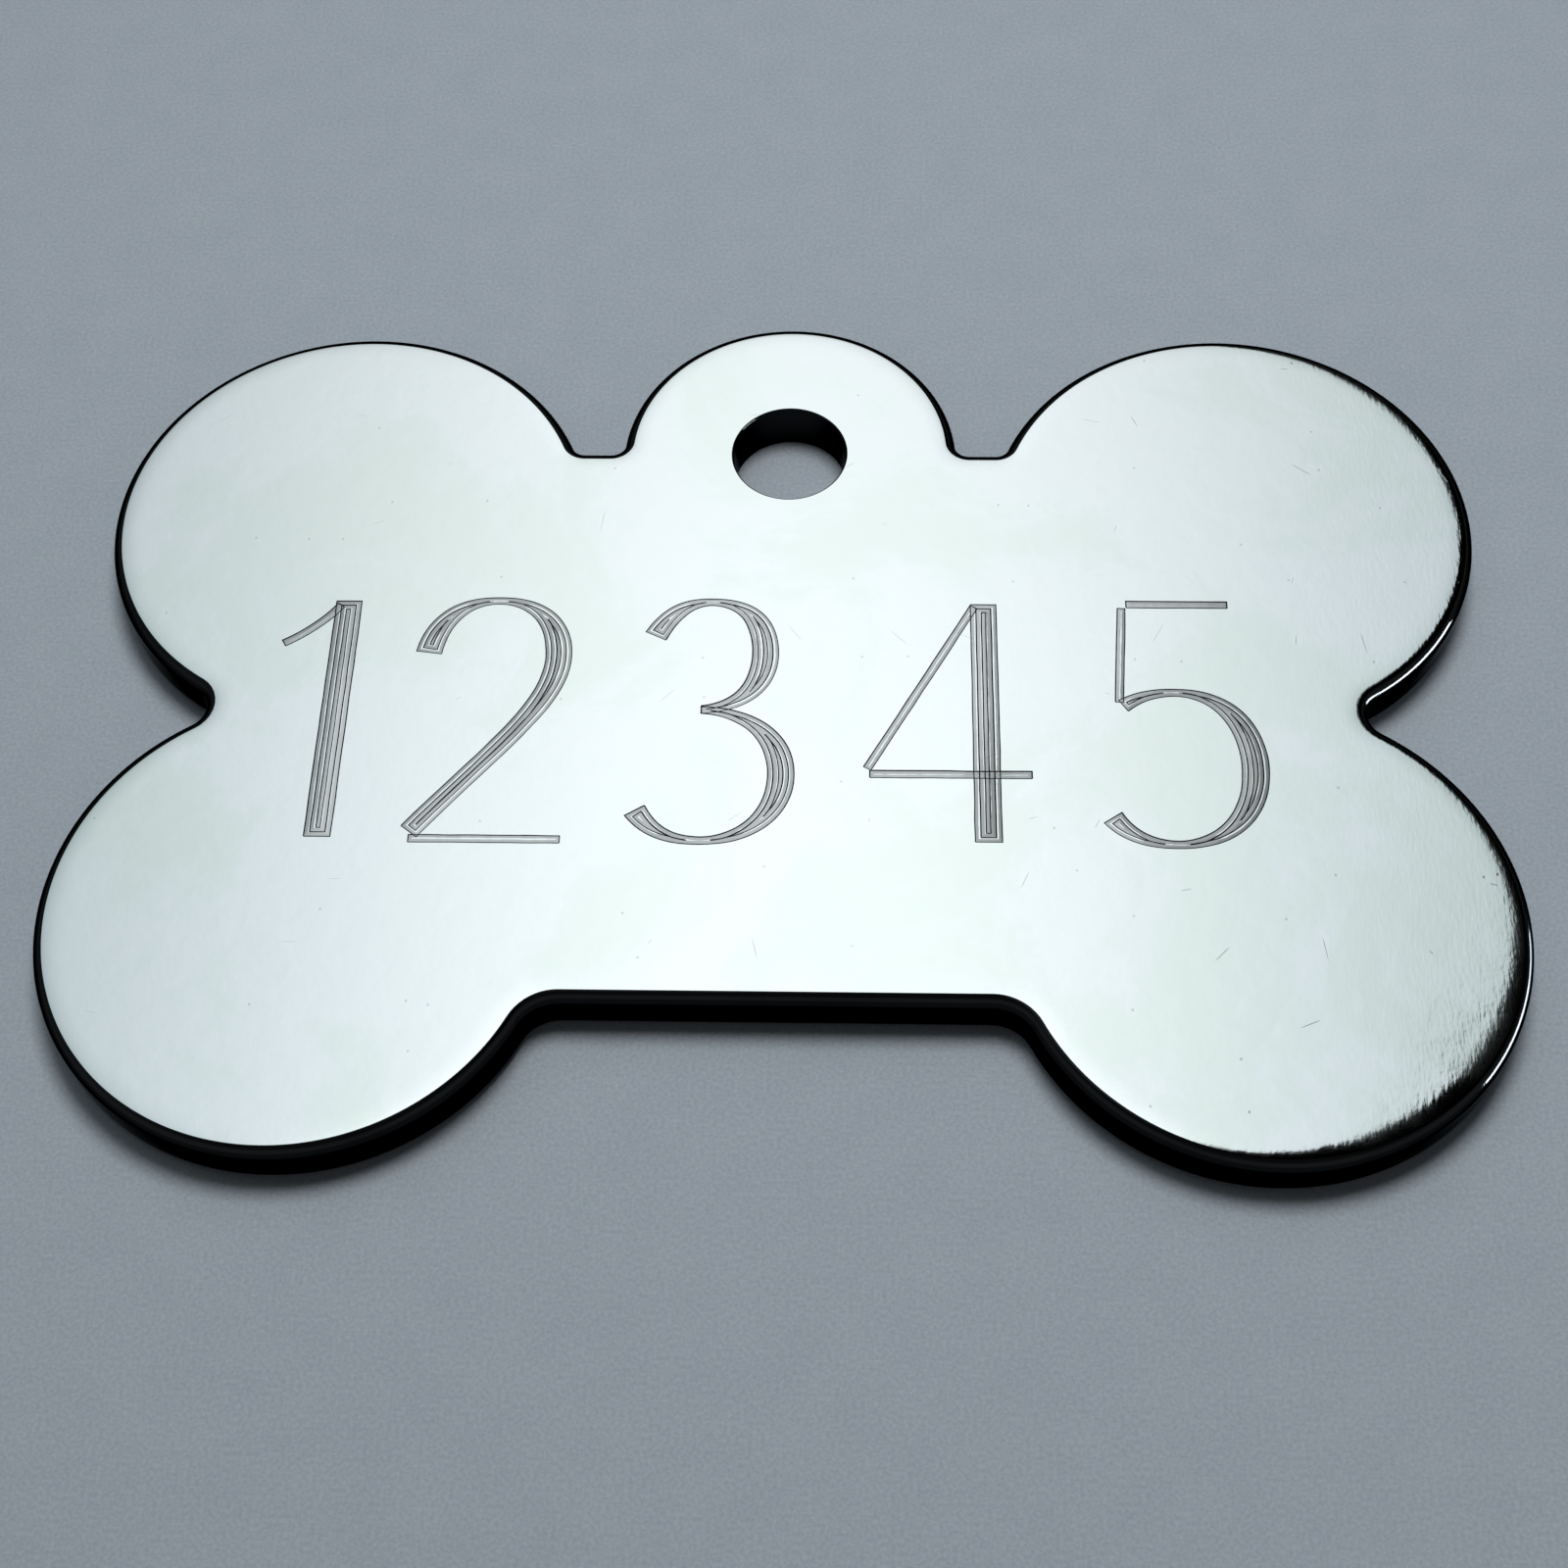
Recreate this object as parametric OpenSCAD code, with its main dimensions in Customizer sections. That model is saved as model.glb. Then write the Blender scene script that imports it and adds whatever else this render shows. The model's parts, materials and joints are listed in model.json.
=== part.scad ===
// Pet id tag: a bone-shaped steel plate with an ear at the middle of its top edge and a hole for a ring.
// It lies on its back with the ear towards +Y. The origin is on the back, under the middle of the outline.

/* [Plate] */
// Width across the lobes
plate_w = 38; // [36:0.5:48]
// Height across the lobes, without the ear
plate_h = 25.8; // [21:0.2:27.6]
// Thickness
plate_t = 1.5; // [1.2:0.1:2.5]
// Radius of the tumbled edge all round
edge_r = 0.3; // [0.2:0.05:0.55]

/* [Notches and waist] */
// How far the notch between two lobes cuts in from the side
notch_depth = 3.47; // [2.5:0.01:4.5]
// Radius at the bottom of that notch
notch_r = 0.66; // [0.3:0.02:1.2]
// How far the waist's straight edges lie inside the lobes
waist_depth = 4.25; // [3.6:0.05:5.5]
// Radius of the corners at the ends of the lower waist
waist_corner_r = 1.1; // [0.5:0.1:2]

/* [Ear] */
// Radius of the ear
ear_r = 4.74; // [3.9:0.01:5.8]
// How far the ear stands above the waist
ear_h = 4.67; // [4:0.01:5.6]
// Radius of the corners beside the ear
ear_corner_r = 0.4; // [0.1:0.05:0.6]
// Diameter of the hole for the ring
hole_d = 3.2; // [2.4:0.1:5]
// Radius of the hole's broken edges
hole_edge_r = 0.06; // [0.04:0.02:0.3]

/* [Hidden] */
$fn = 96;

// How far a cut runs past the plate
overrun = 1;
// How far the arc of an inner corner crosses the edges that it blends into, so that they meet in one clean line
corner_bite = 0.002;

// Length of a right triangle's third side
function leg(longest, other) = sqrt(longest ^ 2 - other ^ 2);

// The lobe's radius is the one that touches the plate's side and top and leaves the notch at its depth
lobe_r = plate_h / 2 + notch_depth - sqrt(notch_depth * (plate_h + 2 * notch_r));
waist_y = plate_h / 2 - waist_depth;
upper_lobe = [plate_w / 2 - lobe_r, plate_h / 2 - lobe_r];
lower_lobe = [upper_lobe.x, -upper_lobe.y];
ear = [0, waist_y + ear_h - ear_r];

// The ear makes the outline reach further up than down, so the middle of the lobes lies below the origin
lobes_middle_y = (plate_h / 2 - waist_y - ear_h) / 2;

// Straight edge left between ear and lobe, which limits the two corners there
top_gap = upper_lobe.x - leg(lobe_r, waist_y - upper_lobe.y) - leg(ear_r, waist_y - ear.y);
top_corner_r = min(ear_corner_r, top_gap / 2);

// Centres of the inner corners on the right half of the plate
notch_corner = [upper_lobe.x + leg(lobe_r + notch_r - corner_bite, upper_lobe.y), 0];
top_corner_y = waist_y + top_corner_r - corner_bite;
ear_corner = [leg(ear_r + top_corner_r - corner_bite, top_corner_y - ear.y), top_corner_y];
lobe_corner = [
    upper_lobe.x - leg(lobe_r + top_corner_r - corner_bite, top_corner_y - upper_lobe.y),
    top_corner_y
];
low_corner_y = corner_bite - waist_y - waist_corner_r;
low_corner = [
    lower_lobe.x - leg(lobe_r + waist_corner_r - corner_bite, lower_lobe.y - low_corner_y),
    low_corner_y
];

// Section of the plate from x = 0 out to its rounded edge at x = reach
module edge_section(reach) {
    square([reach - edge_r, plate_t]);
    translate([0, edge_r]) square([reach, plate_t - 2 * edge_r]);
    for (z = [edge_r, plate_t - edge_r]) translate([reach - edge_r, z]) circle(edge_r);
}

// Round disc with a rounded edge
module disc(centre, r) {
    translate(centre) rotate_extrude() edge_section(r);
}

// Middle of the plate, between two straight rounded edges
module waist() {
    for (turn = [0, 180]) rotate(turn) translate([-upper_lobe.x, 0, 0]) rotate([90, 0, 90])
        linear_extrude(2 * upper_lobe.x) edge_section(waist_y);
}

// Round cut through the plate that rounds both its rims over
module rounded_cut(centre, r, rim_r) {
    translate(centre) rotate_extrude() difference() {
        translate([0, -overrun]) square([r + rim_r, plate_t + 2 * overrun]);
        translate([r, rim_r]) square([rim_r, plate_t - 2 * rim_r]);
        for (z = [rim_r, plate_t - rim_r]) translate([r + rim_r, z]) circle(rim_r);
    }
}

// Metal that fills an inner corner, where the edge of the plate curves inwards
module inner_corner(centre, r, points) {
    difference() {
        linear_extrude(plate_t) polygon(points);
        rounded_cut(centre, r, edge_r);
    }
}

// Both lobes and all the corners on the right half of the plate
module right_half() {
    disc(upper_lobe, lobe_r);
    disc(lower_lobe, lobe_r);
    inner_corner(notch_corner, notch_r, [lower_lobe, notch_corner, upper_lobe]);
    inner_corner(ear_corner, top_corner_r, [[0, 0], [ear_corner.x, 0], ear_corner, ear]);
    inner_corner(lobe_corner, top_corner_r, [upper_lobe, lobe_corner, [lobe_corner.x, upper_lobe.y]]);
    inner_corner(low_corner, waist_corner_r, [lower_lobe, [low_corner.x, lower_lobe.y], low_corner]);
}

module tag() {
    color("silver") translate([0, lobes_middle_y, 0]) difference() {
        union() {
            waist();
            disc(ear, ear_r);
            right_half();
            mirror([1, 0, 0]) right_half();
        }
        rounded_cut(ear, hole_d / 2, hole_edge_r);
    }
}

tag();
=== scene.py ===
import json
import math
import random

import bmesh
import bpy
from mathutils import Matrix, Vector
from mathutils.geometry import interpolate_bezier

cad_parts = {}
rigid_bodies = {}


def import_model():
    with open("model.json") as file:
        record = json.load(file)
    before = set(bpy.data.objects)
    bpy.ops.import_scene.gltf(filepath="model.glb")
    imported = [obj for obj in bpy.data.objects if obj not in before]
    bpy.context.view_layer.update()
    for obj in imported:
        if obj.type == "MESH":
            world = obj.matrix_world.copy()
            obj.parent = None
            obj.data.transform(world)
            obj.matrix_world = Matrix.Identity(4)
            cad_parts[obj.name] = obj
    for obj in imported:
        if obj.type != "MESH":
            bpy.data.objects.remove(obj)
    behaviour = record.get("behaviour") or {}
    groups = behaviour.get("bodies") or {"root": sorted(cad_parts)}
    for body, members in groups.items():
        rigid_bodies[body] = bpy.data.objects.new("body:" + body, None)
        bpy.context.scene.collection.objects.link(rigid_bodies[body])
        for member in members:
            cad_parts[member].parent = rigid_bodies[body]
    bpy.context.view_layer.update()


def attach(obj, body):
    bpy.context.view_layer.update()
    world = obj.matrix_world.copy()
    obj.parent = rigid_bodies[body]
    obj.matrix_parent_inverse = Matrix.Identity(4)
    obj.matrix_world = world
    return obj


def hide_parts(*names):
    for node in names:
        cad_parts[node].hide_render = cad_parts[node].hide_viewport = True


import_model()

# Steel blank
# The tag is one flat plate of stainless steel, punched from 1.5 mm sheet in a bone outline with an ear,
# then tumbled and polished until all its edges are round. It is drawn in millimetres as a flat outline,
# raised to its thickness, and rounded ring by ring.

MM = 0.001
plate_t = 1.5
edge_r = 0.3

# The lobes reach half_w to the sides and half_h up and down from their own middle, the waist's straight
# edges lie waist_depth further in, and the ear stands ear_h above the upper one
half_w = 19
half_h = 12.9
lobe_r = 6.669
notch_r = 0.66
waist_depth = 4.25
low_corner_r = 1.1
ear_h = 4.67
ear_r = 4.74
ear_corner_r = 0.4

# Both faces roll off gently over this width before the rounded edge, down to this slope
roll_width = 0.6
roll_slope = math.radians(4)
roll_power = 3
roll_drop = roll_slope * roll_width / roll_power

# How finely the outline, the rounded edge and the roll-off are drawn, and the width of the level ring inside
arc_pitch = 0.16
fewest_arc_steps = 10
round_steps = 10
roll_steps = 6
level_ring = 0.25

# Two points that are this near each other are one
same_spot = 0.001

# The ear makes the outline reach further up than down, so the middle of the lobes lies below the origin
lobes_y = (waist_depth - ear_h) / 2
top_y = lobes_y + half_h - waist_depth
low_y = lobes_y - half_h + waist_depth
ear_top = top_y + ear_h
upper_lobe = Vector((half_w - lobe_r, lobes_y + half_h - lobe_r))
lower_lobe = Vector((half_w - lobe_r, lobes_y - half_h + lobe_r))
ear = Vector((0, ear_top - ear_r))


def touching(centre, r, corner_r, corner_y, side):
    """Centre of a corner arc at height corner_y, right (1) or left (-1) of the round part it touches."""
    rise = corner_y - centre.y
    return Vector((centre.x + side * math.sqrt((r + corner_r) ** 2 - rise ** 2), corner_y))


def heading(centre, target):
    """Direction from one centre to another, in degrees."""
    return math.degrees(math.atan2(target.y - centre.y, target.x - centre.x))


def at_angle(centre, r, degrees):
    """Point on an arc."""
    turn = math.radians(degrees)
    return centre + r * Vector((math.cos(turn), math.sin(turn)))


def clear_selection():
    """Leaves edit mode and selects nothing."""
    if bpy.context.object and bpy.context.object.mode != "OBJECT":
        bpy.ops.object.mode_set(mode="OBJECT")
    bpy.ops.object.select_all(action="DESELECT")


ear_corner = touching(ear, ear_r, ear_corner_r, top_y + ear_corner_r, 1)
lobe_corner = touching(upper_lobe, lobe_r, ear_corner_r, top_y + ear_corner_r, -1)
notch_corner = touching(upper_lobe, lobe_r, notch_r, lobes_y, 1)
low_corner = touching(lower_lobe, lobe_r, low_corner_r, low_y - low_corner_r, -1)

# Each arc of the right half: its centre, its radius, and the directions in which it starts and ends
ear_to_corner = heading(ear, ear_corner)
corner_to_lobe = heading(lobe_corner, upper_lobe)
lobe_to_notch = heading(upper_lobe, notch_corner)
lobe_to_low = heading(lower_lobe, low_corner)
right_half = [
    (ear, ear_r, 90, ear_to_corner),
    (ear_corner, ear_corner_r, ear_to_corner + 180, 270),
    (lobe_corner, ear_corner_r, -90, corner_to_lobe),
    (upper_lobe, lobe_r, corner_to_lobe + 180, lobe_to_notch),
    (notch_corner, notch_r, lobe_to_notch + 180, 180 - lobe_to_notch),
    (lower_lobe, lobe_r, -lobe_to_notch, lobe_to_low),
    (low_corner, low_corner_r, lobe_to_low + 180, 90),
]

# Rings that carry the wall over the rounded edge and along the roll-off to the level face: how far each
# lies inside the wall, and how far beyond it
rings = []
for i in range(1, round_steps + 1):
    turn = (math.pi / 2 - roll_slope) * i / round_steps
    rings.append((edge_r * (1 - math.cos(turn)), edge_r * math.sin(turn)))
edge_inset, edge_rise = rings[-1]
for i in range(1, roll_steps + 1):
    share = i / roll_steps
    rings.append((edge_inset + roll_width * share, edge_rise + roll_drop * (1 - (1 - share) ** roll_power)))
level_inset, level_rise = rings[-1]
rings.append((level_inset + level_ring, level_rise))
wall_low = edge_r * math.cos(roll_slope) + roll_drop
wall_high = plate_t - wall_low

# The outline starts as one point at the top of the ear and is drawn down the right side
clear_selection()
bpy.ops.mesh.primitive_plane_add(size=1, location=(0, 0, 0))
plate = bpy.context.object
plate.name = "tag_plate"
plate.data.name = "tag_plate"
bpy.ops.object.mode_set(mode="EDIT")
bpy.ops.mesh.merge(type="CENTER")
pen = Vector((0, ear_top))
bpy.ops.transform.translate(value=(pen.x, pen.y, wall_low))
for centre, r, start, end in right_half:
    step = at_angle(centre, r, start) - pen
    if step.length > same_spot:
        bpy.ops.mesh.extrude_region_move(TRANSFORM_OT_translate={"value": (step.x, step.y, 0)})
    sweep = math.radians(end - start)
    bpy.ops.mesh.spin(
        steps=max(fewest_arc_steps, round(abs(sweep) * r / arc_pitch)),
        angle=-sweep,
        center=(centre.x, centre.y, wall_low),
        axis=(0, 0, 1),
    )
    pen = at_angle(centre, r, end)
bpy.ops.mesh.extrude_region_move(TRANSFORM_OT_translate={"value": (-pen.x, low_y - pen.y, 0)})
bpy.ops.object.mode_set(mode="OBJECT")

# The left side is its mirror image, and the closed outline is filled and raised to the height of its wall
bpy.ops.object.modifier_add(type="MIRROR")
plate.modifiers["Mirror"].merge_threshold = same_spot
bpy.ops.object.modifier_apply(modifier="Mirror")
bpy.ops.object.mode_set(mode="EDIT")
bpy.ops.mesh.select_all(action="SELECT")
bpy.ops.mesh.edge_face_add()
bpy.ops.mesh.extrude_region_move(TRANSFORM_OT_translate={"value": (0, 0, wall_high - wall_low)})
bpy.ops.mesh.select_all(action="SELECT")
bpy.ops.mesh.normals_make_consistent(inside=False)

# A cap is the face that lies level and has more corners than any strip beside it
cap_level = 0.9
cap_corners = 20


def select_cap(side):
    """Selects the plate's whole front (1) or back (-1)."""
    bpy.ops.mesh.select_all(action="DESELECT")
    bpy.ops.mesh.select_mode(type="FACE")
    shape = bmesh.from_edit_mesh(plate.data)
    for face in shape.faces:
        face.select_set(face.normal.z * side > cap_level and len(face.verts) > cap_corners)
    bmesh.update_edit_mesh(plate.data)


for side in (1, -1):
    select_cap(side)
    inset, rise = 0, 0
    for ring_inset, ring_rise in rings:
        bpy.ops.mesh.inset(
            thickness=ring_inset - inset,
            depth=ring_rise - rise,
            use_even_offset=True,
            use_relative_offset=False,
        )
        inset, rise = ring_inset, ring_rise
bpy.ops.object.mode_set(mode="OBJECT")

# Steel finish
# The steel is mopped to a mirror. The mop leaves faint waves, strokes and a few dull clouds in it, and the
# tag has picked up short scratches and small pits. The clouds' greenish tint on the face is a painted
# reflection of the room. Waves and marks are given their height in microns.

MICRON = 0.001 * MM
wave_size = 0.7 * MM
wave_distortion = 0.4
grain_fineness = 5.0
grain_share = 0.25

# The mop's strokes run up and down the tag, and show fully only at the right-hand lobes
stroke_fineness = 8.0
stroke_stretch = (1.0, 0.28, 1.0)
stroke_share = 0.6
stroke_faint = 0.08
stroke_from = 12 * MM
stroke_full = 17.5 * MM

# The clouds show where their pattern rises from one of these levels to the other
cloud_size = 7 * MM
cloud_from = 0.46
cloud_full = 0.6

# Scratches and pits are scattered over cells of this spacing, and this share of the cells has one. To
# either side, a scratch reaches shortest_scratch to shortest_scratch + 1 times its length
scratch_spacing = 1.9 * MM
scratch_length = 0.4 * MM
scratch_width = 0.016 * MM
scratch_share = 0.2
shortest_scratch = 0.2
pit_spacing = 1.3 * MM
pit_r = 0.055 * MM
pit_share = 0.12

# Share of a mark's length or radius over which it is at full depth, and what it does to the finish
full_depth = 0.3
mark_strength = 0.22
mark_shade = 0.3
mark_roughness = 0.15


def add_node(tree, kind, inputs=None, **settings):
    """Adds one shader node with its options, and gives each of its inputs a value or a link to a socket."""
    node = tree.nodes.new(kind)
    for name, value in settings.items():
        setattr(node, name, value)
    for name, value in (inputs or {}).items():
        if isinstance(value, bpy.types.NodeSocket):
            tree.links.new(value, node.inputs[name])
        else:
            node.inputs[name].default_value = value
    return node


def combine(tree, operation, *values):
    """Folds numbers or sockets together with one arithmetic operation."""
    folded = values[0]
    for value in values[1:]:
        folded = add_node(tree, "ShaderNodeMath", {0: folded, 1: value}, operation=operation).outputs[0]
    return folded


def smooth(tree, value, low, high, out_low=0.0, out_high=1.0):
    """Smooth step of a value from low to high, which falls where low is the higher of the two."""
    return add_node(tree, "ShaderNodeMapRange", {
        "Value": value, "From Min": low, "From Max": high, "To Min": out_low, "To Max": out_high,
    }, interpolation_type="SMOOTHSTEP").outputs["Result"]


def noise(tree, place, scale, detail, roughness=0.5, distortion=0.0):
    """Soft random pattern with so many features to a metre."""
    return add_node(tree, "ShaderNodeTexNoise", {
        "Vector": place, "Scale": scale, "Detail": detail, "Roughness": roughness, "Distortion": distortion,
    }).outputs["Fac"]


def new_group(name, inputs, outputs):
    """Starts a node group with a place and named numbers going in, and named numbers coming out."""
    tree = bpy.data.node_groups.new(name, "ShaderNodeTree")
    tree.interface.new_socket("Place", in_out="INPUT", socket_type="NodeSocketVector")
    for title in inputs:
        tree.interface.new_socket(title, in_out="INPUT", socket_type="NodeSocketFloat")
    for title in outputs:
        tree.interface.new_socket(title, in_out="OUTPUT", socket_type="NodeSocketFloat")
    return tree, tree.nodes.new("NodeGroupInput").outputs, tree.nodes.new("NodeGroupOutput").inputs


def use_group(tree, group, place, values):
    """Places a node group in a material with its own values."""
    node = tree.nodes.new("ShaderNodeGroup")
    node.node_tree = group
    tree.links.new(place, node.inputs["Place"])
    for title, value in values.items():
        node.inputs[title].default_value = value
    return node.outputs


def scattered(tree, goes_in):
    """Cells of an uneven mesh, their random colours, and a mask of the share of them that has a mark."""
    cell = add_node(tree, "ShaderNodeTexVoronoi", {
        "Vector": goes_in["Place"], "Scale": combine(tree, "DIVIDE", 1.0, goes_in["Spacing"]),
    }, voronoi_dimensions="2D").outputs
    chance = add_node(tree, "ShaderNodeSeparateColor", {"Color": cell["Color"]}).outputs
    return cell, chance, combine(tree, "LESS_THAN", chance["Green"], goes_in["Share"])


def blend(tree, share, under, over):
    """Mixes two colours, with the share and the colours in a Mix node's inputs 0, 6 and 7."""
    return add_node(tree, "ShaderNodeMix", {0: share, 6: under, 7: over}, data_type="RGBA").outputs[2]


# Waves that the polishing mop leaves in the steel, with a finer grain and its strokes over them
polish_waves, goes_in, comes_out = new_group("polish_waves", ["Size", "Grain", "Brush"], ["Height"])
wave_scale = combine(polish_waves, "DIVIDE", 1.0, goes_in["Size"])
broad = noise(polish_waves, goes_in["Place"], wave_scale, detail=1.0, distortion=wave_distortion)
grain_scale = combine(polish_waves, "MULTIPLY", wave_scale, grain_fineness)
grain = noise(polish_waves, goes_in["Place"], grain_scale, detail=1.0)
drawn_out = add_node(polish_waves, "ShaderNodeVectorMath", {
    0: goes_in["Place"], 1: stroke_stretch,
}, operation="MULTIPLY").outputs["Vector"]
stroke_scale = combine(polish_waves, "MULTIPLY", wave_scale, stroke_fineness)
mop_strokes = noise(polish_waves, drawn_out, stroke_scale, detail=2.0)
sideways = add_node(polish_waves, "ShaderNodeSeparateXYZ", {"Vector": goes_in["Place"]}).outputs["X"]
stroke_strength = smooth(polish_waves, sideways, stroke_from, stroke_full, stroke_faint, 1.0)
polish_waves.links.new(
    combine(
        polish_waves, "ADD", broad,
        combine(polish_waves, "MULTIPLY", grain, goes_in["Grain"]),
        combine(polish_waves, "MULTIPLY", mop_strokes, goes_in["Brush"], stroke_strength),
    ),
    comes_out["Height"],
)

# Short straight scratches, each turned its own way in its cell
scratches, goes_in, comes_out = new_group("scratches", ["Spacing", "Length", "Width", "Share"], ["Mask"])
cell, chance, marked = scattered(scratches, goes_in)
offset = add_node(scratches, "ShaderNodeVectorMath", {
    0: goes_in["Place"], 1: cell["Position"],
}, operation="SUBTRACT").outputs["Vector"]
turned = add_node(scratches, "ShaderNodeVectorRotate", {
    "Vector": offset, "Angle": combine(scratches, "MULTIPLY", chance["Red"], 2 * math.pi),
}, rotation_type="Z_AXIS").outputs["Vector"]
run = add_node(scratches, "ShaderNodeSeparateXYZ", {"Vector": turned}).outputs
lengthways, across = (
    add_node(scratches, "ShaderNodeMath", {0: run[axis]}, operation="ABSOLUTE").outputs[0] for axis in "XY"
)
lengthening = combine(scratches, "ADD", chance["Blue"], shortest_scratch)
half_length = combine(scratches, "MULTIPLY", goes_in["Length"], lengthening)
scratches.links.new(
    combine(
        scratches, "MULTIPLY",
        smooth(scratches, lengthways, half_length, combine(scratches, "MULTIPLY", half_length, full_depth)),
        smooth(scratches, across, goes_in["Width"], 0.0),
        marked,
    ),
    comes_out["Mask"],
)

# Small round pits, each at the middle of its cell
pits, goes_in, comes_out = new_group("pits", ["Spacing", "Radius", "Share"], ["Mask"])
cell, chance, marked = scattered(pits, goes_in)
from_middle = combine(pits, "MULTIPLY", cell["Distance"], goes_in["Spacing"])
pit_floor = combine(pits, "MULTIPLY", goes_in["Radius"], full_depth)
pits.links.new(
    combine(pits, "MULTIPLY", smooth(pits, from_middle, goes_in["Radius"], pit_floor), marked),
    comes_out["Mask"],
)

# Faint cloudy patches where the polish is a little dull, and where the face also shows a greenish painted
# reflection
clouds, goes_in, comes_out = new_group("clouds", ["Size"], ["Mask"])
cloud_scale = combine(clouds, "DIVIDE", 1.0, goes_in["Size"])
patch = noise(clouds, goes_in["Place"], cloud_scale, detail=5.0, roughness=0.6, distortion=0.6)
clouds.links.new(smooth(clouds, patch, cloud_from, cloud_full), comes_out["Mask"])


def steel(name, colour, dull_and_reflected_colour, roughness, dull_roughness, wave_rise, mark_depth):
    """Stainless steel with the mop's waves, dull clouds whose tint is partly a painted reflection, scratches
    and pits, as strong as the values say.
    """
    material = bpy.data.materials.new(name)
    material.use_nodes = True
    tree = material.node_tree
    shader = tree.nodes["Principled BSDF"]
    place = add_node(tree, "ShaderNodeTexCoord").outputs["Object"]
    waves = use_group(tree, polish_waves, place, {
        "Size": wave_size, "Grain": grain_share, "Brush": stroke_share,
    })["Height"]
    dull = use_group(tree, clouds, place, {"Size": cloud_size})["Mask"]
    lines = use_group(tree, scratches, place, {
        "Spacing": scratch_spacing, "Length": scratch_length, "Width": scratch_width, "Share": scratch_share,
    })["Mask"]
    dots = use_group(tree, pits, place, {
        "Spacing": pit_spacing, "Radius": pit_r, "Share": pit_share,
    })["Mask"]
    marks = combine(tree, "MAXIMUM", lines, dots)
    # The clouds are rougher and take a duller tone, which on the face is greenish: a painted reflection of
    # the room
    clean = blend(tree, dull, (*colour, 1), (*dull_and_reflected_colour, 1))
    mark_colour = [mark_shade * part for part in colour]
    tone = blend(tree, combine(tree, "MULTIPLY", marks, mark_strength), clean, (*mark_colour, 1))
    tree.links.new(tone, shader.inputs["Base Color"])
    rough = combine(
        tree, "ADD", roughness,
        combine(tree, "MULTIPLY", dull, dull_roughness - roughness),
        combine(tree, "MULTIPLY", marks, mark_roughness),
    )
    tree.links.new(rough, shader.inputs["Roughness"])
    rise = combine(tree, "MULTIPLY", waves, wave_rise)
    height = combine(tree, "SUBTRACT", rise, combine(tree, "MULTIPLY", marks, mark_depth))
    bump = add_node(tree, "ShaderNodeBump", {"Height": height, "Distance": MICRON, "Strength": 1.0})
    tree.links.new(bump.outputs["Normal"], shader.inputs["Normal"])
    shader.inputs["Metallic"].default_value = 1
    return material


# The face's greenish cloud colour is a painted reflection of the room
mirror_steel = steel(
    "mirror_steel", colour=(0.80, 0.83, 0.835), dull_and_reflected_colour=(0.76, 0.81, 0.78),
    roughness=0.05, dull_roughness=0.09, wave_rise=2.5, mark_depth=1.2,
)
plate.data.materials.append(mirror_steel)

# Ring hole
# The hole for the ring is punched through the ear, round the same middle as the ear itself, and the
# tumbler only just rounds its rims. Its cutter is a round bar that flares out at both faces of the plate.

hole_r = 1.6
hole_edge_r = 0.06
hole_sides = 96
rim_steps = 4

# How far the flare's start lies outside each face, and how far the bar runs past the plate
rim_lap = 0.002
bar_overrun = 1

# Height and radius of each section of the bar, from under the plate to above it
flare_r = hole_r + hole_edge_r
sections = [(-bar_overrun, flare_r)]
for i in range(rim_steps + 1):
    turn = math.pi / 2 * i / rim_steps
    sections.append((hole_edge_r * (1 - math.cos(turn)) - rim_lap, flare_r - hole_edge_r * math.sin(turn)))
sections += [(plate_t - z, r) for z, r in reversed(sections)]


def pick(piece):
    """Makes one piece the only selected one."""
    clear_selection()
    piece.select_set(True)
    bpy.context.view_layer.objects.active = piece


def cut_out(name, **settings):
    """Cuts a shape, or a collection of shapes, out of the plate for good."""
    pick(plate)
    cut = plate.modifiers.new(name, "BOOLEAN")
    cut.operation = "DIFFERENCE"
    cut.solver = "MANIFOLD"
    for setting, value in settings.items():
        setattr(cut, setting, value)
    bpy.ops.object.modifier_apply(modifier=name)


clear_selection()
bpy.ops.mesh.primitive_circle_add(
    vertices=hole_sides, radius=flare_r, fill_type="NGON", location=(ear.x, ear.y, -bar_overrun)
)
hole_cutter = bpy.context.object
hole_cutter.data.materials.append(mirror_steel)
bpy.ops.object.transform_apply(location=True, rotation=True, scale=True)
bpy.ops.object.mode_set(mode="EDIT")
bpy.ops.mesh.select_all(action="SELECT")
for (z_from, r_from), (z_to, r_to) in zip(sections, sections[1:]):
    bpy.ops.mesh.extrude_region_move(TRANSFORM_OT_translate={"value": (0, 0, z_to - z_from)})
    grow = r_to / r_from
    bpy.ops.transform.resize(value=(grow, grow, 1), center_override=(ear.x, ear.y, z_to))
bpy.ops.mesh.select_all(action="SELECT")
bpy.ops.mesh.normals_make_consistent(inside=False)
bpy.ops.object.mode_set(mode="OBJECT")
cut_out("hole", object=hole_cutter)
bpy.data.objects.remove(hole_cutter)

# Engraving
# Plain digits are cut into the polished face by a fine burr that goes round inside each stroke, line
# beside line, so a thick stroke is a bundle of fine grooves and a thin one is two. The bare steel in the
# grooves is duller than the face.

# Height of the digits' feet on the tag, and widths of a level and of an upright stroke. In between, a
# stroke is the thicker the more upright it runs, by this power
base_y = -4.41
hair_w = 0.26
stem_w = 0.74
upright_power = 1.6

# The first pair of lines lies rim_inset inside the stroke's sides, each further pair groove_pitch inside
# the one before. A line keeps off the stroke's ends by end_share of that, and ends where the two of a pair
# would cross by more than meeting
groove_pitch = 0.145
rim_inset = 0.02
end_share = 0.9
meeting = 0.03

# How finely a line is drawn, in curve steps and in millimetres between points, and how short it may be
curve_steps = 60
line_pitch = 0.13
fewest_steps = 8
fewest_points = 4

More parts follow.
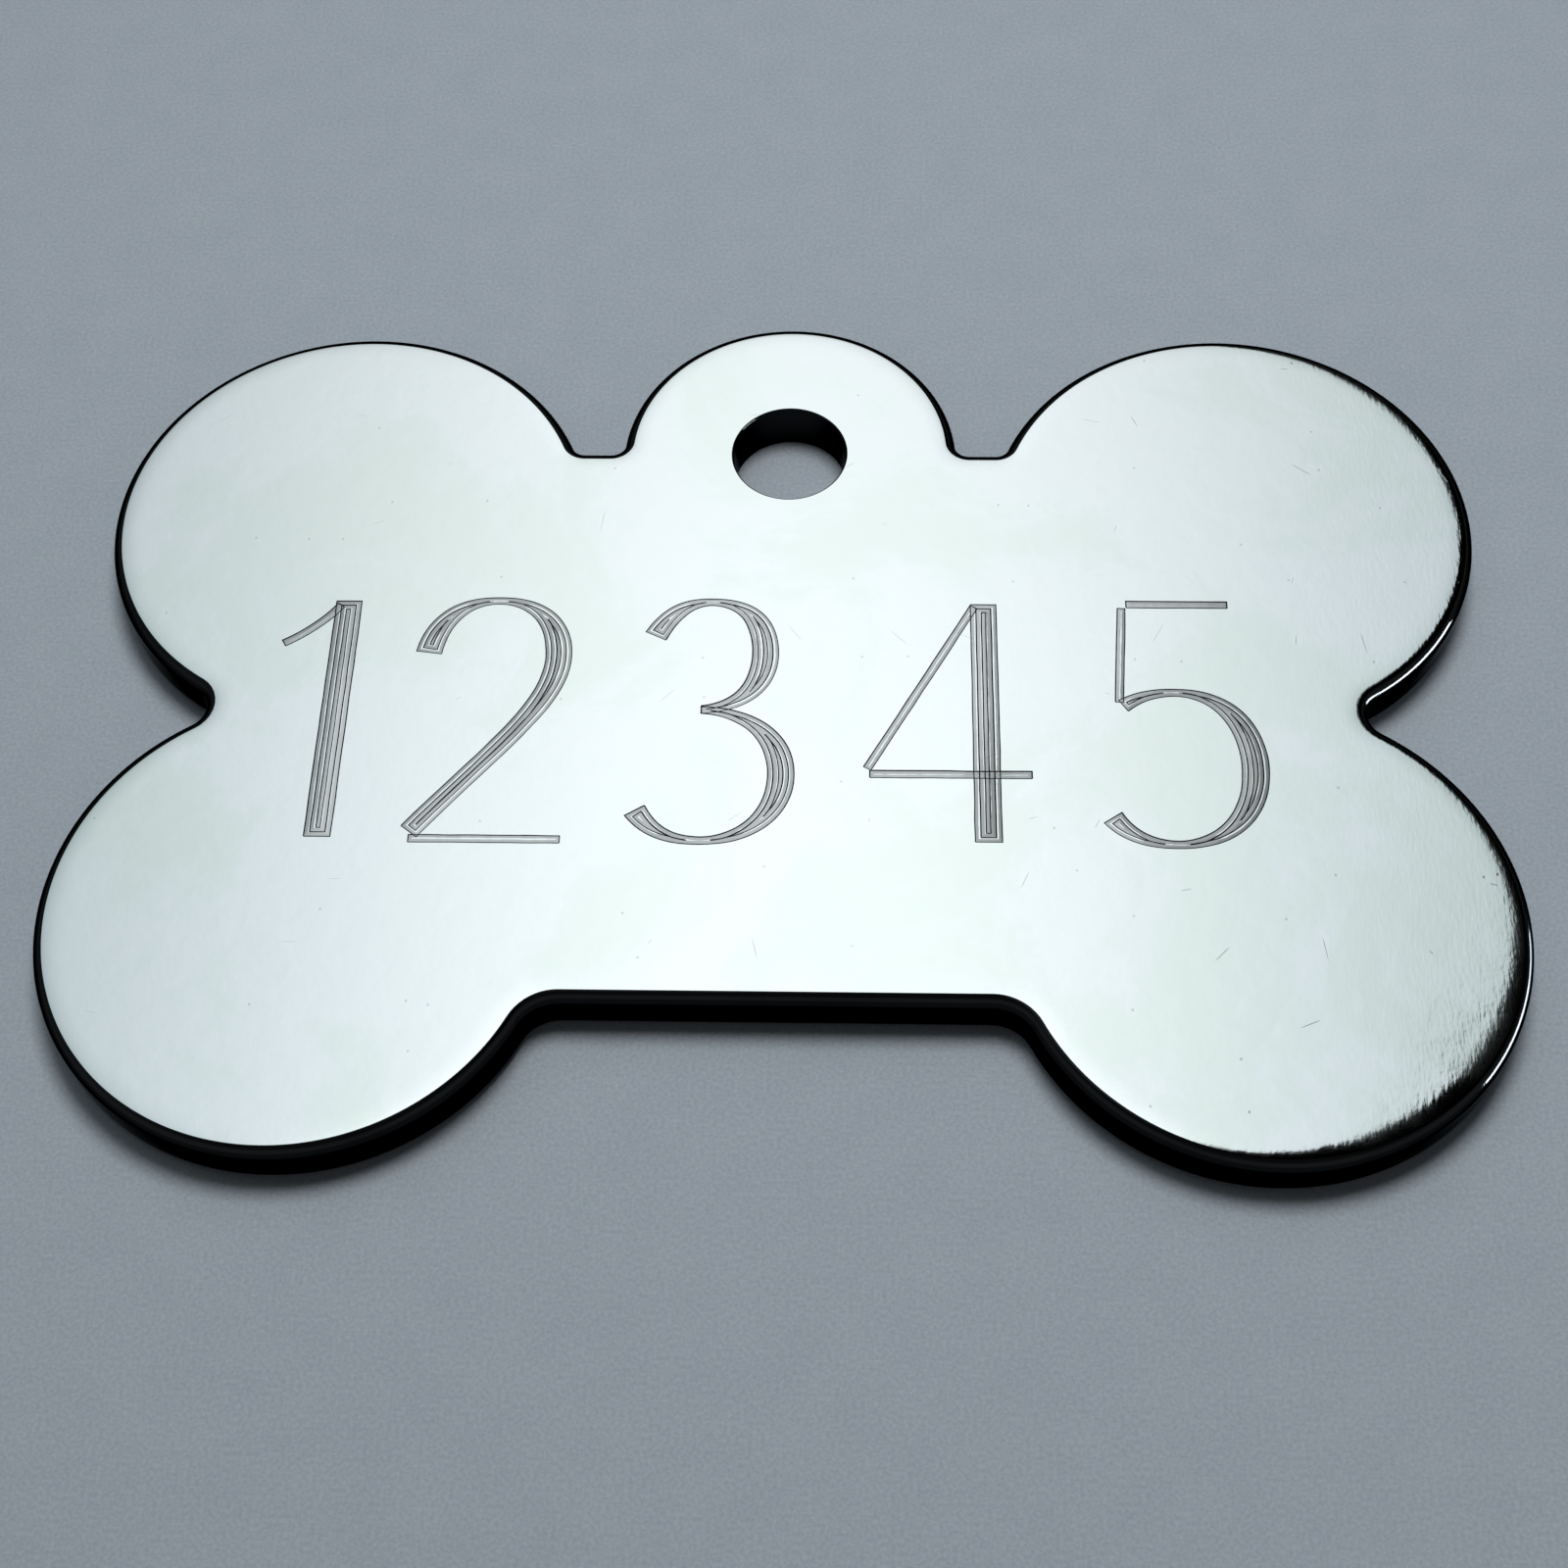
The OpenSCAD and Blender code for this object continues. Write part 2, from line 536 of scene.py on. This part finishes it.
# The hand-fed burr wanders sideways by up to wobble, to a new side every wander_points points with some to
# spare, and bites deeper where it is pressed harder, which changes from line to line and point to point
wobble = 0.006
wander_points = 4
spare_sides = 3
light_press, hard_press = 0.8, 1.15
press_change = 0.06
hand = random.Random(11)

# The burr's section, which cuts a steep flank on the left of its path and a shallow one on the right, with
# a knee near the bottom. The flanks leave the steel just above the face, and points closer than weld merge
weld = 0.0005
groove_depth = 0.03
knee = (0.018, -0.0065)
steep_w = 0.016
shallow_w = 0.112
face_lap = 0.0008
burr_rise = 0.03
burr_lean = 0.02
burr_outline = [
    (0, -groove_depth), knee, (shallow_w, face_lap),
    (shallow_w, burr_rise), (-burr_lean, burr_rise), (-steep_w, face_lap),
]

# Where each digit starts, and its strokes in millimetres from its own lower left corner: chains of cubic
# curves, and whether the pen draws them thin all along
digits = {
    "1": (-14.1, [
        ([(0.35, 6.1), (1.0, 6.45), (1.6, 6.95), (1.95, 7.55)], True),
        ([(2.1, 7.7), (2.1, 5), (2.1, 2.7), (2.1, 0)], False),
    ]),
    "2": (-9.9, [
        ([(0.25, 5.75), (0.35, 6.9), (1.05, 7.6), (2.05, 7.6), (3.15, 7.6), (3.8, 6.85), (3.8, 5.75),
          (3.8, 4.2), (2.2, 2.8), (0.2, 0.2)], False),
        ([(0.15, 0.1), (1.5, 0.1), (3, 0.1), (4.35, 0.1)], True),
    ]),
    "3": (-4.0, [
        ([(0.45, 6.35), (0.8, 7.15), (1.3, 7.6), (2.0, 7.6), (3.0, 7.6), (3.5, 6.9), (3.5, 5.9),
          (3.5, 4.9), (2.9, 4.15), (1.7, 4.1)], False),
        ([(1.7, 4.1), (3.1, 4.1), (4.0, 3.25), (4.0, 2.1), (4.0, 0.9), (3.1, 0.1), (1.9, 0.1),
          (1.1, 0.1), (0.5, 0.45), (0.15, 1.1)], False),
    ]),
    "4": (2.1, [
        ([(3.1, 7.6), (2.1, 5.8), (1.1, 4.0), (0.1, 2.2)], True),
        ([(0.1, 2.15), (1.6, 2.15), (3.1, 2.15), (4.6, 2.15)], True),
        ([(3.3, 7.7), (3.3, 5), (3.3, 2.7), (3.3, 0)], False),
    ]),
    "5": (8.4, [
        ([(0.75, 7.6), (1.7, 7.6), (2.8, 7.6), (3.75, 7.6)], True),
        ([(0.75, 7.6), (0.7, 6.5), (0.6, 5.4), (0.55, 4.3)], True),
        ([(0.55, 4.25), (1.0, 4.6), (1.5, 4.75), (2.0, 4.75), (3.2, 4.75), (4.0, 3.85), (4.0, 2.45),
          (4.0, 1.0), (3.1, 0.1), (1.85, 0.1), (1.1, 0.1), (0.5, 0.4), (0.15, 1.0)], False),
    ]),
}


def along(points):
    """Even points along a chain of cubic curves, and how far along each lies."""
    fine = []
    for i in range(0, len(points) - 1, 3):
        corners = [Vector((x, y, 0)) for x, y in points[i:i + 4]]
        fine += interpolate_bezier(*corners, curve_steps)[1 if fine else 0:]
    reach = [0]
    for a, b in zip(fine, fine[1:]):
        reach.append(reach[-1] + (b - a).length)
    count = max(fewest_steps, round(reach[-1] / line_pitch))
    wanted = [reach[-1] * i / count for i in range(count + 1)]
    spots = []
    k = 0
    for want in wanted:
        while k < len(reach) - 2 and reach[k + 1] < want:
            k += 1
        spots.append(fine[k].lerp(fine[k + 1], (want - reach[k]) / (reach[k + 1] - reach[k])))
    return spots, wanted


def wander(count):
    """Smooth small wander of a hand-fed burr, one value for each point."""
    aside = [hand.uniform(-1, 1) for _ in range(count // wander_points + spare_sides)]
    drift = []
    for i in range(count):
        k, past = divmod(i, wander_points)
        drift.append(aside[k] + (aside[k + 1] - aside[k]) * past / wander_points)
    return drift


def stretches(inside):
    """Unbroken stretches of points at which a line lies inside its stroke, without the shortest ones."""
    found = []
    start = 0
    for i, here in enumerate([*inside, False]):
        if not here:
            if i - start >= fewest_points:
                found.append(range(start, i))
            start = i + 1
    return found


def groove_lines(points, thin):
    """Paths of the burr inside one stroke: pairs of lines, each pair further in than the one before."""
    spots, reach = along(points)
    last = len(spots) - 1
    sides, halves = [], []
    for i in range(last + 1):
        lead = (spots[min(i + 1, last)] - spots[max(i - 1, 0)]).normalized()
        sides.append(Vector((-lead.y, lead.x, 0)))
        fat = 0 if thin else abs(lead.y) ** upright_power
        halves.append((hair_w + (stem_w - hair_w) * fat) / 2)
    lines = []
    k = 0
    while True:
        inset = rim_inset + k * groove_pitch
        off_end = inset * end_share
        inside = [
            halves[i] - inset > -meeting and reach[i] > off_end and reach[last] - reach[i] > off_end
            for i in range(last + 1)
        ]
        if not any(inside):
            return lines
        for span in stretches(inside):
            pair = []
            for side in (1, -1):
                drift = wander(len(span))
                pair.append([
                    spots[i] + sides[i] * (side * max(halves[i] - inset, 0) + wobble * drift[i - span.start])
                    for i in span
                ])
            left, right = pair
            # The first line of a pair also runs across both ends, so that the two make one loop, and
            # where the two would lie in one another only one is cut. Both are cut with the stroke's
            # outer side on their left, where the burr's steep flank is
            if max(halves[i] for i in span) - inset > meeting:
                lines.append([right[0]] + left + [right[-1]])
            lines.append(right[::-1])
        k += 1


def flat_curve(name, outline, closed):
    """Flat curve that runs straight from point to point."""
    data = bpy.data.curves.new(name, "CURVE")
    data.dimensions = "2D"
    spline = data.splines.new("POLY")
    spline.points.add(len(outline) - 1)
    for point, (x, y) in zip(spline.points, outline):
        point.co = (x, y, 0, 1)
    spline.use_cyclic_u = closed
    return bpy.data.objects.new(name, data)


cut_steel = steel(
    "cut_steel", colour=(0.48, 0.49, 0.49), dull_and_reflected_colour=(0.42, 0.43, 0.43),
    roughness=0.24, dull_roughness=0.32, wave_rise=3.0, mark_depth=0.0,
)
burr = flat_curve("burr", burr_outline, closed=True)
bpy.context.scene.collection.objects.link(burr)
grooves = bpy.data.collections.new("grooves")
bpy.context.scene.collection.children.link(grooves)
clear_selection()
for start_x, strokes in digits.values():
    for points, thin in strokes:
        for line in groove_lines(points, thin):
            path = [(spot.x + start_x, spot.y + base_y) for spot in line]
            groove = flat_curve("groove", path, closed=False)
            groove.data.fill_mode = "NONE"
            groove.data.bevel_mode = "OBJECT"
            groove.data.bevel_object = burr
            groove.data.use_fill_caps = True
            groove.data.materials.append(cut_steel)
            press = hand.uniform(light_press, hard_press)
            for point in groove.data.splines[0].points:
                point.radius = press + hand.uniform(-press_change, press_change)
            groove.location = (0, 0, plate_t)
            grooves.objects.link(groove)
            groove.select_set(True)
            bpy.context.view_layer.objects.active = groove
bpy.ops.object.convert(target="MESH")
bpy.ops.object.mode_set(mode="EDIT")
bpy.ops.mesh.select_all(action="SELECT")
bpy.ops.mesh.remove_doubles(threshold=weld)
bpy.ops.mesh.normals_make_consistent(inside=False)
bpy.ops.object.mode_set(mode="OBJECT")
bpy.ops.object.transform_apply(location=True, rotation=True, scale=True)
cut_out("engraving", operand_type="COLLECTION", collection=grooves, material_mode="TRANSFER")
for spare in [burr, *grooves.objects]:
    bpy.data.objects.remove(spare)
bpy.data.collections.remove(grooves)

# Edge finish and painted shade
# The rounded edge, the wall and rims of the hole, and the steep flanks of the grooves are near-black glossy
# steel. This is painted shade: it stands in for the dark room and the shadowed paper that they mirror. The
# plate is brought to metres and shaded before its faces get this painted shade by how far they lean.

# Corners sharper than crease_angle stay sharp. What leans over further than edge_lean on the polished
# steel, or than flank_lean in a groove, gets the painted shade, and edge_gloss_tint damps its grazing gloss
crease_angle = math.radians(24)
edge_lean = math.radians(6)
flank_lean = math.radians(30)
edge_gloss_tint = (0.3, 0.3, 0.3, 1)

pick(plate)
bpy.ops.object.mode_set(mode="EDIT")
bpy.ops.mesh.select_all(action="SELECT")
bpy.ops.transform.resize(value=(MM, MM, MM), center_override=(0, 0, 0))
bpy.ops.object.mode_set(mode="OBJECT")
bpy.ops.object.shade_smooth_by_angle(angle=crease_angle)

# The rims of the grooves stay crisp against the polished face
shape = bmesh.new()
shape.from_mesh(plate.data)
for edge in shape.edges:
    if len({face.material_index for face in edge.link_faces}) > 1:
        edge.smooth = False
shape.to_mesh(plate.data)
shape.free()
bpy.ops.object.modifier_add(type="WEIGHTED_NORMAL")
plate.modifiers[-1].keep_sharp = True
bpy.ops.object.modifier_apply(modifier=plate.modifiers[-1].name)

# This near-black steel is painted shade, not a real dark finish: it stands in for the dark surroundings the
# edges mirror
shade_painted_edge = steel(
    "shade_painted_edge", colour=(0.012, 0.013, 0.014), dull_and_reflected_colour=(0.010, 0.011, 0.012),
    roughness=0.05, dull_roughness=0.09, wave_rise=2.0, mark_depth=1.0,
)
shade_painted_edge.node_tree.nodes["Principled BSDF"].inputs["Specular Tint"].default_value = edge_gloss_tint
cut_slot = plate.data.materials.find(cut_steel.name)
edge_slot = len(plate.data.materials)
plate.data.materials.append(shade_painted_edge)
# Faces that lean over far enough are given the painted shade
for face in plate.data.polygons:
    lean = flank_lean if face.material_index == cut_slot else edge_lean
    if abs(face.normal.z) < math.cos(lean):
        face.material_index = edge_slot
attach(plate, "root")
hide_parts("tag")

# Floor
# The tag lies on a sheet of plain pale grey paper. Its fine fibres catch the light a little, and it is
# faintly blotched.

floor_r = 2.2
floor_sides = 128
floor_lap = 0.01 * MM
fibres_per_metre = 10000.0
blotches_per_metre = 700.0
fibre_share = 0.85
fibre_rise = 0.012 * MM
fibre_strength = 0.6
paper_tones = [(0.35, (0.35, 0.40, 0.45)), (0.65, (0.43, 0.48, 0.53))]


def tone_ramp(tree, value, stops):
    """Turns a value into a colour by a ramp, given as positions and the colours there."""
    node = add_node(tree, "ShaderNodeValToRGB", {"Fac": value})
    elements = node.color_ramp.elements
    positions, colours = zip(*stops)
    elements[0].position = positions[0]
    elements[1].position = positions[-1]
    for position in positions[1:-1]:
        elements.new(position)
    for element, colour in zip(elements, colours):
        element.color = (*colour, 1)
    return node.outputs["Color"]


clear_selection()
bpy.ops.mesh.primitive_circle_add(
    vertices=floor_sides, radius=floor_r, fill_type="NGON", location=(0, 0, floor_lap)
)
floor = bpy.context.object
floor.name = "floor"
pale_paper = bpy.data.materials.new("pale_paper")
pale_paper.use_nodes = True
paper = pale_paper.node_tree
paper_shader = paper.nodes["Principled BSDF"]
paper_place = add_node(paper, "ShaderNodeTexCoord").outputs["Object"]
fibre = noise(paper, paper_place, fibres_per_metre, detail=2.0, roughness=0.6)
blotch = noise(paper, paper_place, blotches_per_metre, detail=2.0)
shade = combine(
    paper, "ADD",
    combine(paper, "MULTIPLY", fibre, fibre_share),
    combine(paper, "MULTIPLY", blotch, 1 - fibre_share),
)
paper.links.new(tone_ramp(paper, shade, paper_tones), paper_shader.inputs["Base Color"])
paper_bump = add_node(paper, "ShaderNodeBump", {
    "Height": fibre, "Distance": fibre_rise, "Strength": fibre_strength,
})
paper.links.new(paper_bump.outputs["Normal"], paper_shader.inputs["Normal"])
paper_shader.inputs["Roughness"].default_value = 0.9
paper_shader.inputs["Specular IOR Level"].default_value = 0.0
floor.data.materials.append(pale_paper)

# Light
# The face mirrors one broad soft window high in the north, and at the right-hand lobes the dark gap beside
# it. The rest of the room is dim. A soft lamp that mirrors don't show lights the paper, and a small one
# that only mirrors show draws the glints on the right-hand edges.

# Places in the sky are shares of a direction's length to the east, to the north and up, and each pair is
# where a soft border starts and ends. The window has a slanted front and a cut corner, and grows brighter
# with its height
window_front = (0.01, 0.03)
front_slant = 1.15
front_start = 0.08
window_east = (0.3, 0.32)
window_corner = (0.765, 0.785)
corner_slant = 0.8
window_north = (0.0, 0.1)
window_rise = [(0.50, 0.0), (0.60, 0.55), (0.68, 0.74), (0.76, 0.87), (0.84, 0.96), (0.90, 1.0)]
window_tint = (0.43, 0.51, 0.54)

# A brighter band runs up the window, with its middle this far to the west
band_offset = 0.03
band_width = 0.195
band_tint = (0.77, 0.76, 0.75)

# The dark gap round the window reaches this far to the east and down
gap_east = (0.55, 0.7)
gap_low = (0.5, 0.6)

# How bright the room is on the paper and in mirrors, and how much the south, the haze and the horizon add
dim_room = 0.07
mirrored_room = 0.22
glow = 0.4
south_side = (-0.1, 0.25)
south_low = (0.1, 0.4)
south_high = (0.7, 0.92)
haze_low = (0.3, 0.45)
haze_high = (0.5, 0.6)
horizon_glow = 0.2
horizon_high = (0.02, 0.08)

world = bpy.data.worlds.new("studio")
bpy.context.scene.world = world
world.use_nodes = True
sky = world.node_tree


def product(*values):
    """Multiplies lights and borders of the sky."""
    return combine(sky, "MULTIPLY", *values)


def total(*values):
    """Adds lights of the sky."""
    return combine(sky, "ADD", *values)


def beyond(value, border):
    """1 on the far side of a soft border, 0 on the near side."""
    return smooth(sky, value, *border)


def before(value, border):
    """1 on the near side of a soft border, 0 on the far side."""
    return smooth(sky, value, *border, 1.0, 0.0)


direction = add_node(sky, "ShaderNodeTexCoord").outputs["Generated"]
east, north, up = add_node(sky, "ShaderNodeSeparateXYZ", {"Vector": direction}).outputs
ray = add_node(sky, "ShaderNodeLightPath").outputs
seen = combine(sky, "MAXIMUM", ray["Is Camera Ray"], ray["Is Glossy Ray"])

# The window, and the dark gap round it
front = combine(sky, "SUBTRACT", north, product(east, front_slant), front_start)
corner = total(east, product(north, corner_slant))
by_height = tone_ramp(sky, up, [(position, (level, level, level)) for position, level in window_rise])
window = product(
    by_height, beyond(front, window_front), before(east, window_east), before(corner, window_corner),
    beyond(north, window_north),
)
beside = combine(
    sky, "MAXIMUM", before(front, window_front), beyond(east, window_east), beyond(corner, window_corner)
)
gap = product(beside, before(east, gap_east), beyond(north, window_north), beyond(up, gap_low))

# The dim room, with a glow in the south, a haze in the north and a bright horizon that only mirrors and
# the camera show
south = product(before(north, south_side), beyond(up, south_low), before(up, south_high))
haze = product(beyond(north, south_side), beyond(up, haze_low), before(up, haze_high))
plain_room = smooth(sky, seen, 0.0, 1.0, dim_room, mirrored_room)
room = product(
    total(plain_room, product(total(south, haze), seen, glow)),
    combine(sky, "SUBTRACT", 1.0, gap),
    combine(sky, "SUBTRACT", 1.0, window),
)
around = total(room, product(before(up, horizon_high), seen, horizon_glow))

# The band in the window, and the three colours of all this light
from_band = total(east, band_offset)
band = combine(sky, "POWER", math.e, product(from_band, from_band, -0.5 / band_width ** 2))
sky_colour = add_node(sky, "ShaderNodeCombineXYZ")
for channel, band_share, window_share in zip("XYZ", band_tint, window_tint):
    light = total(product(total(product(band, band_share), window_share), window), around)
    sky.links.new(light, sky_colour.inputs[channel])
sky.links.new(sky_colour.outputs["Vector"], sky.nodes["Background"].inputs["Color"])
sky.nodes["Background"].inputs["Strength"].default_value = 1.0


def area_lamp(name, shape, watts):
    """Soft lamp that the camera doesn't see."""
    data = bpy.data.lights.new(name, "AREA")
    data.shape = shape
    data.energy = watts
    lamp = bpy.data.objects.new(name, data)
    lamp.visible_camera = False
    bpy.context.scene.collection.objects.link(lamp)
    return lamp


# The lamp over the paper looks at the middle of the tag
key = area_lamp("key", "DISK", watts=0.085)
key.data.size = 50 * MM
key.location = (6 * MM, 30 * MM, 120 * MM)
key.rotation_mode = "QUATERNION"
key.rotation_quaternion = key.location.to_track_quat("Z", "Y")
key.visible_glossy = False

# The glint lamp stands upright to the east of the tag. Its own axes point north, up and east, so it
# shines to the west, low along the floor
glint_axes = ((0, 1, 0), (0, 0, 1), (1, 0, 0))
glint = area_lamp("glint", "RECTANGLE", watts=0.09)
glint.data.size = 24.5 * MM
glint.data.size_y = 9 * MM
glint_place = Matrix(glint_axes).transposed().to_4x4()
glint_place.translation = (47 * MM, -5.75 * MM, 5 * MM)
glint.matrix_world = glint_place
glint.visible_diffuse = False
glint.visible_transmission = False

# Camera
# It looks down on the tag from the south, where the photograph was taken from, a little from the east
# and turned a little about its own line of sight.

elevation = math.radians(59.21)
azimuth = math.radians(3.45)
roll = math.radians(-2.5)
target = Vector((0.09, -2.59, 1.5)) * MM
distance = 62.25 * MM
lens = 54.68
nearest, farthest = 0.001, 10

back = Vector((
    math.sin(azimuth) * math.cos(elevation), -math.cos(azimuth) * math.cos(elevation), math.sin(elevation)
))
right = Vector((math.cos(azimuth), math.sin(azimuth), 0))
upward = back.cross(right)
side_axis = math.cos(roll) * right + math.sin(roll) * upward
top_axis = math.cos(roll) * upward - math.sin(roll) * right
camera_place = Matrix((side_axis, top_axis, back)).transposed().to_4x4()
camera_place.translation = target + back * distance
camera_data = bpy.data.cameras.new("camera")
camera_data.lens = lens
camera_data.clip_start = nearest
camera_data.clip_end = farthest
camera = bpy.data.objects.new("camera", camera_data)
bpy.context.scene.collection.objects.link(camera)
camera.matrix_world = camera_place
bpy.context.scene.camera = camera

# Colours come out as they are written above
bpy.context.scene.view_settings.view_transform = "Standard"
